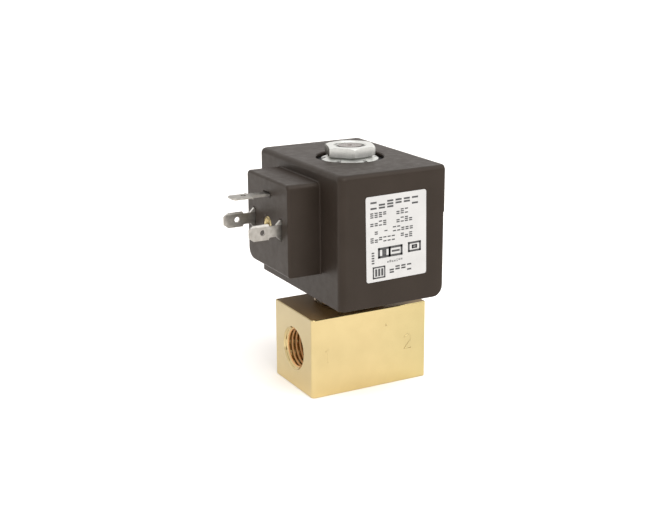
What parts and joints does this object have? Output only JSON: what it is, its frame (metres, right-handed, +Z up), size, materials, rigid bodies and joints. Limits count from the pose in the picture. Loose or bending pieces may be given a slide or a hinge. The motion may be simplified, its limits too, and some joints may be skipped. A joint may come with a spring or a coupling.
{
  "type": "solenoid valve",
  "caption": "Direct-acting two-way solenoid valve: threaded brass block, plunger tube and swivelling moulded coil with a flat-pin connector base.",
  "frame": {"origin": "centre of the brass body's bottom face, on the plunger's axis", "axes": "+Z up along the plunger, +X along the flow from the inlet port to the outlet port; the connector faces -X and the label -Y"},
  "size_m": [0.0598, 0.0521, 0.0742],
  "materials": {
    "brass": "machined, bright",
    "stainless_steel": "drawn",
    "magnetic_stainless": "turned",
    "copper": "copper",
    "white_ptfe": "waxy white",
    "seal_rubber": "matte",
    "black_moulding": "fine moulded texture, satin",
    "bobbin_plastic": "matte",
    "blackened_steel": "blackened",
    "wire_enamel": "glossy sleeve",
    "earth_wire": "satin sleeve",
    "tinned_brass": "tinned, slightly dull",
    "label_film": "satin white film",
    "zinc_plated_steel": "zinc plated"
  },
  "bodies": {
    "valve_base": {"valve_body": "brass", "tube_gland": "brass", "guide_tube": "stainless_steel", "body_o_ring": "seal_rubber", "fixed_core": "magnetic_stainless", "shading_ring": "copper", "plunger_spring": "stainless_steel"},
    "plunger_unit": {"plunger": "magnetic_stainless", "seal_disc": "white_ptfe"},
    "coil": {"coil_housing": "black_moulding", "coil_yoke": "blackened_steel", "coil_bobbin": "bobbin_plastic", "coil_winding": "copper", "lead_wire_1": "wire_enamel", "lead_wire_2": "wire_enamel", "earth_strap": "earth_wire", "line_terminal_1": "tinned_brass", "line_terminal_2": "tinned_brass", "earth_terminal": "tinned_brass", "connector_screw_insert": "brass", "rating_label": "label_film"},
    "washer": {"lock_washer": "zinc_plated_steel"},
    "nut": {"coil_nut": "zinc_plated_steel"}
  },
  "joints": [
    {"name": "plunger_slide", "type": "slide", "parent": "valve_base", "child": "plunger_unit", "axis": [0, 0, 1], "range_m": [0, 0.0015], "stiffness_N_per_m": 400, "springref_m": -0.002, "deforming": ["plunger_spring"]},
    {"name": "coil_swivel", "type": "hinge", "parent": "valve_base", "child": "coil", "pos_m": [0, 0, 0.05], "axis": [0, 0, 1], "continuous": true},
    {"name": "nut_lift", "type": "slide", "parent": "valve_base", "child": "washer", "axis": [0, 0, 1], "range_m": [0, 0.002]},
    {"name": "nut_turn", "type": "hinge", "parent": "washer", "child": "nut", "pos_m": [0, 0, 0.0725], "axis": [0, 0, 1], "range_deg": [0, 720.5]}
  ],
  "couplings": [
    {"joint": "nut_turn", "follows": "nut_lift", "rad_per_m": 6283.2}
  ]
}
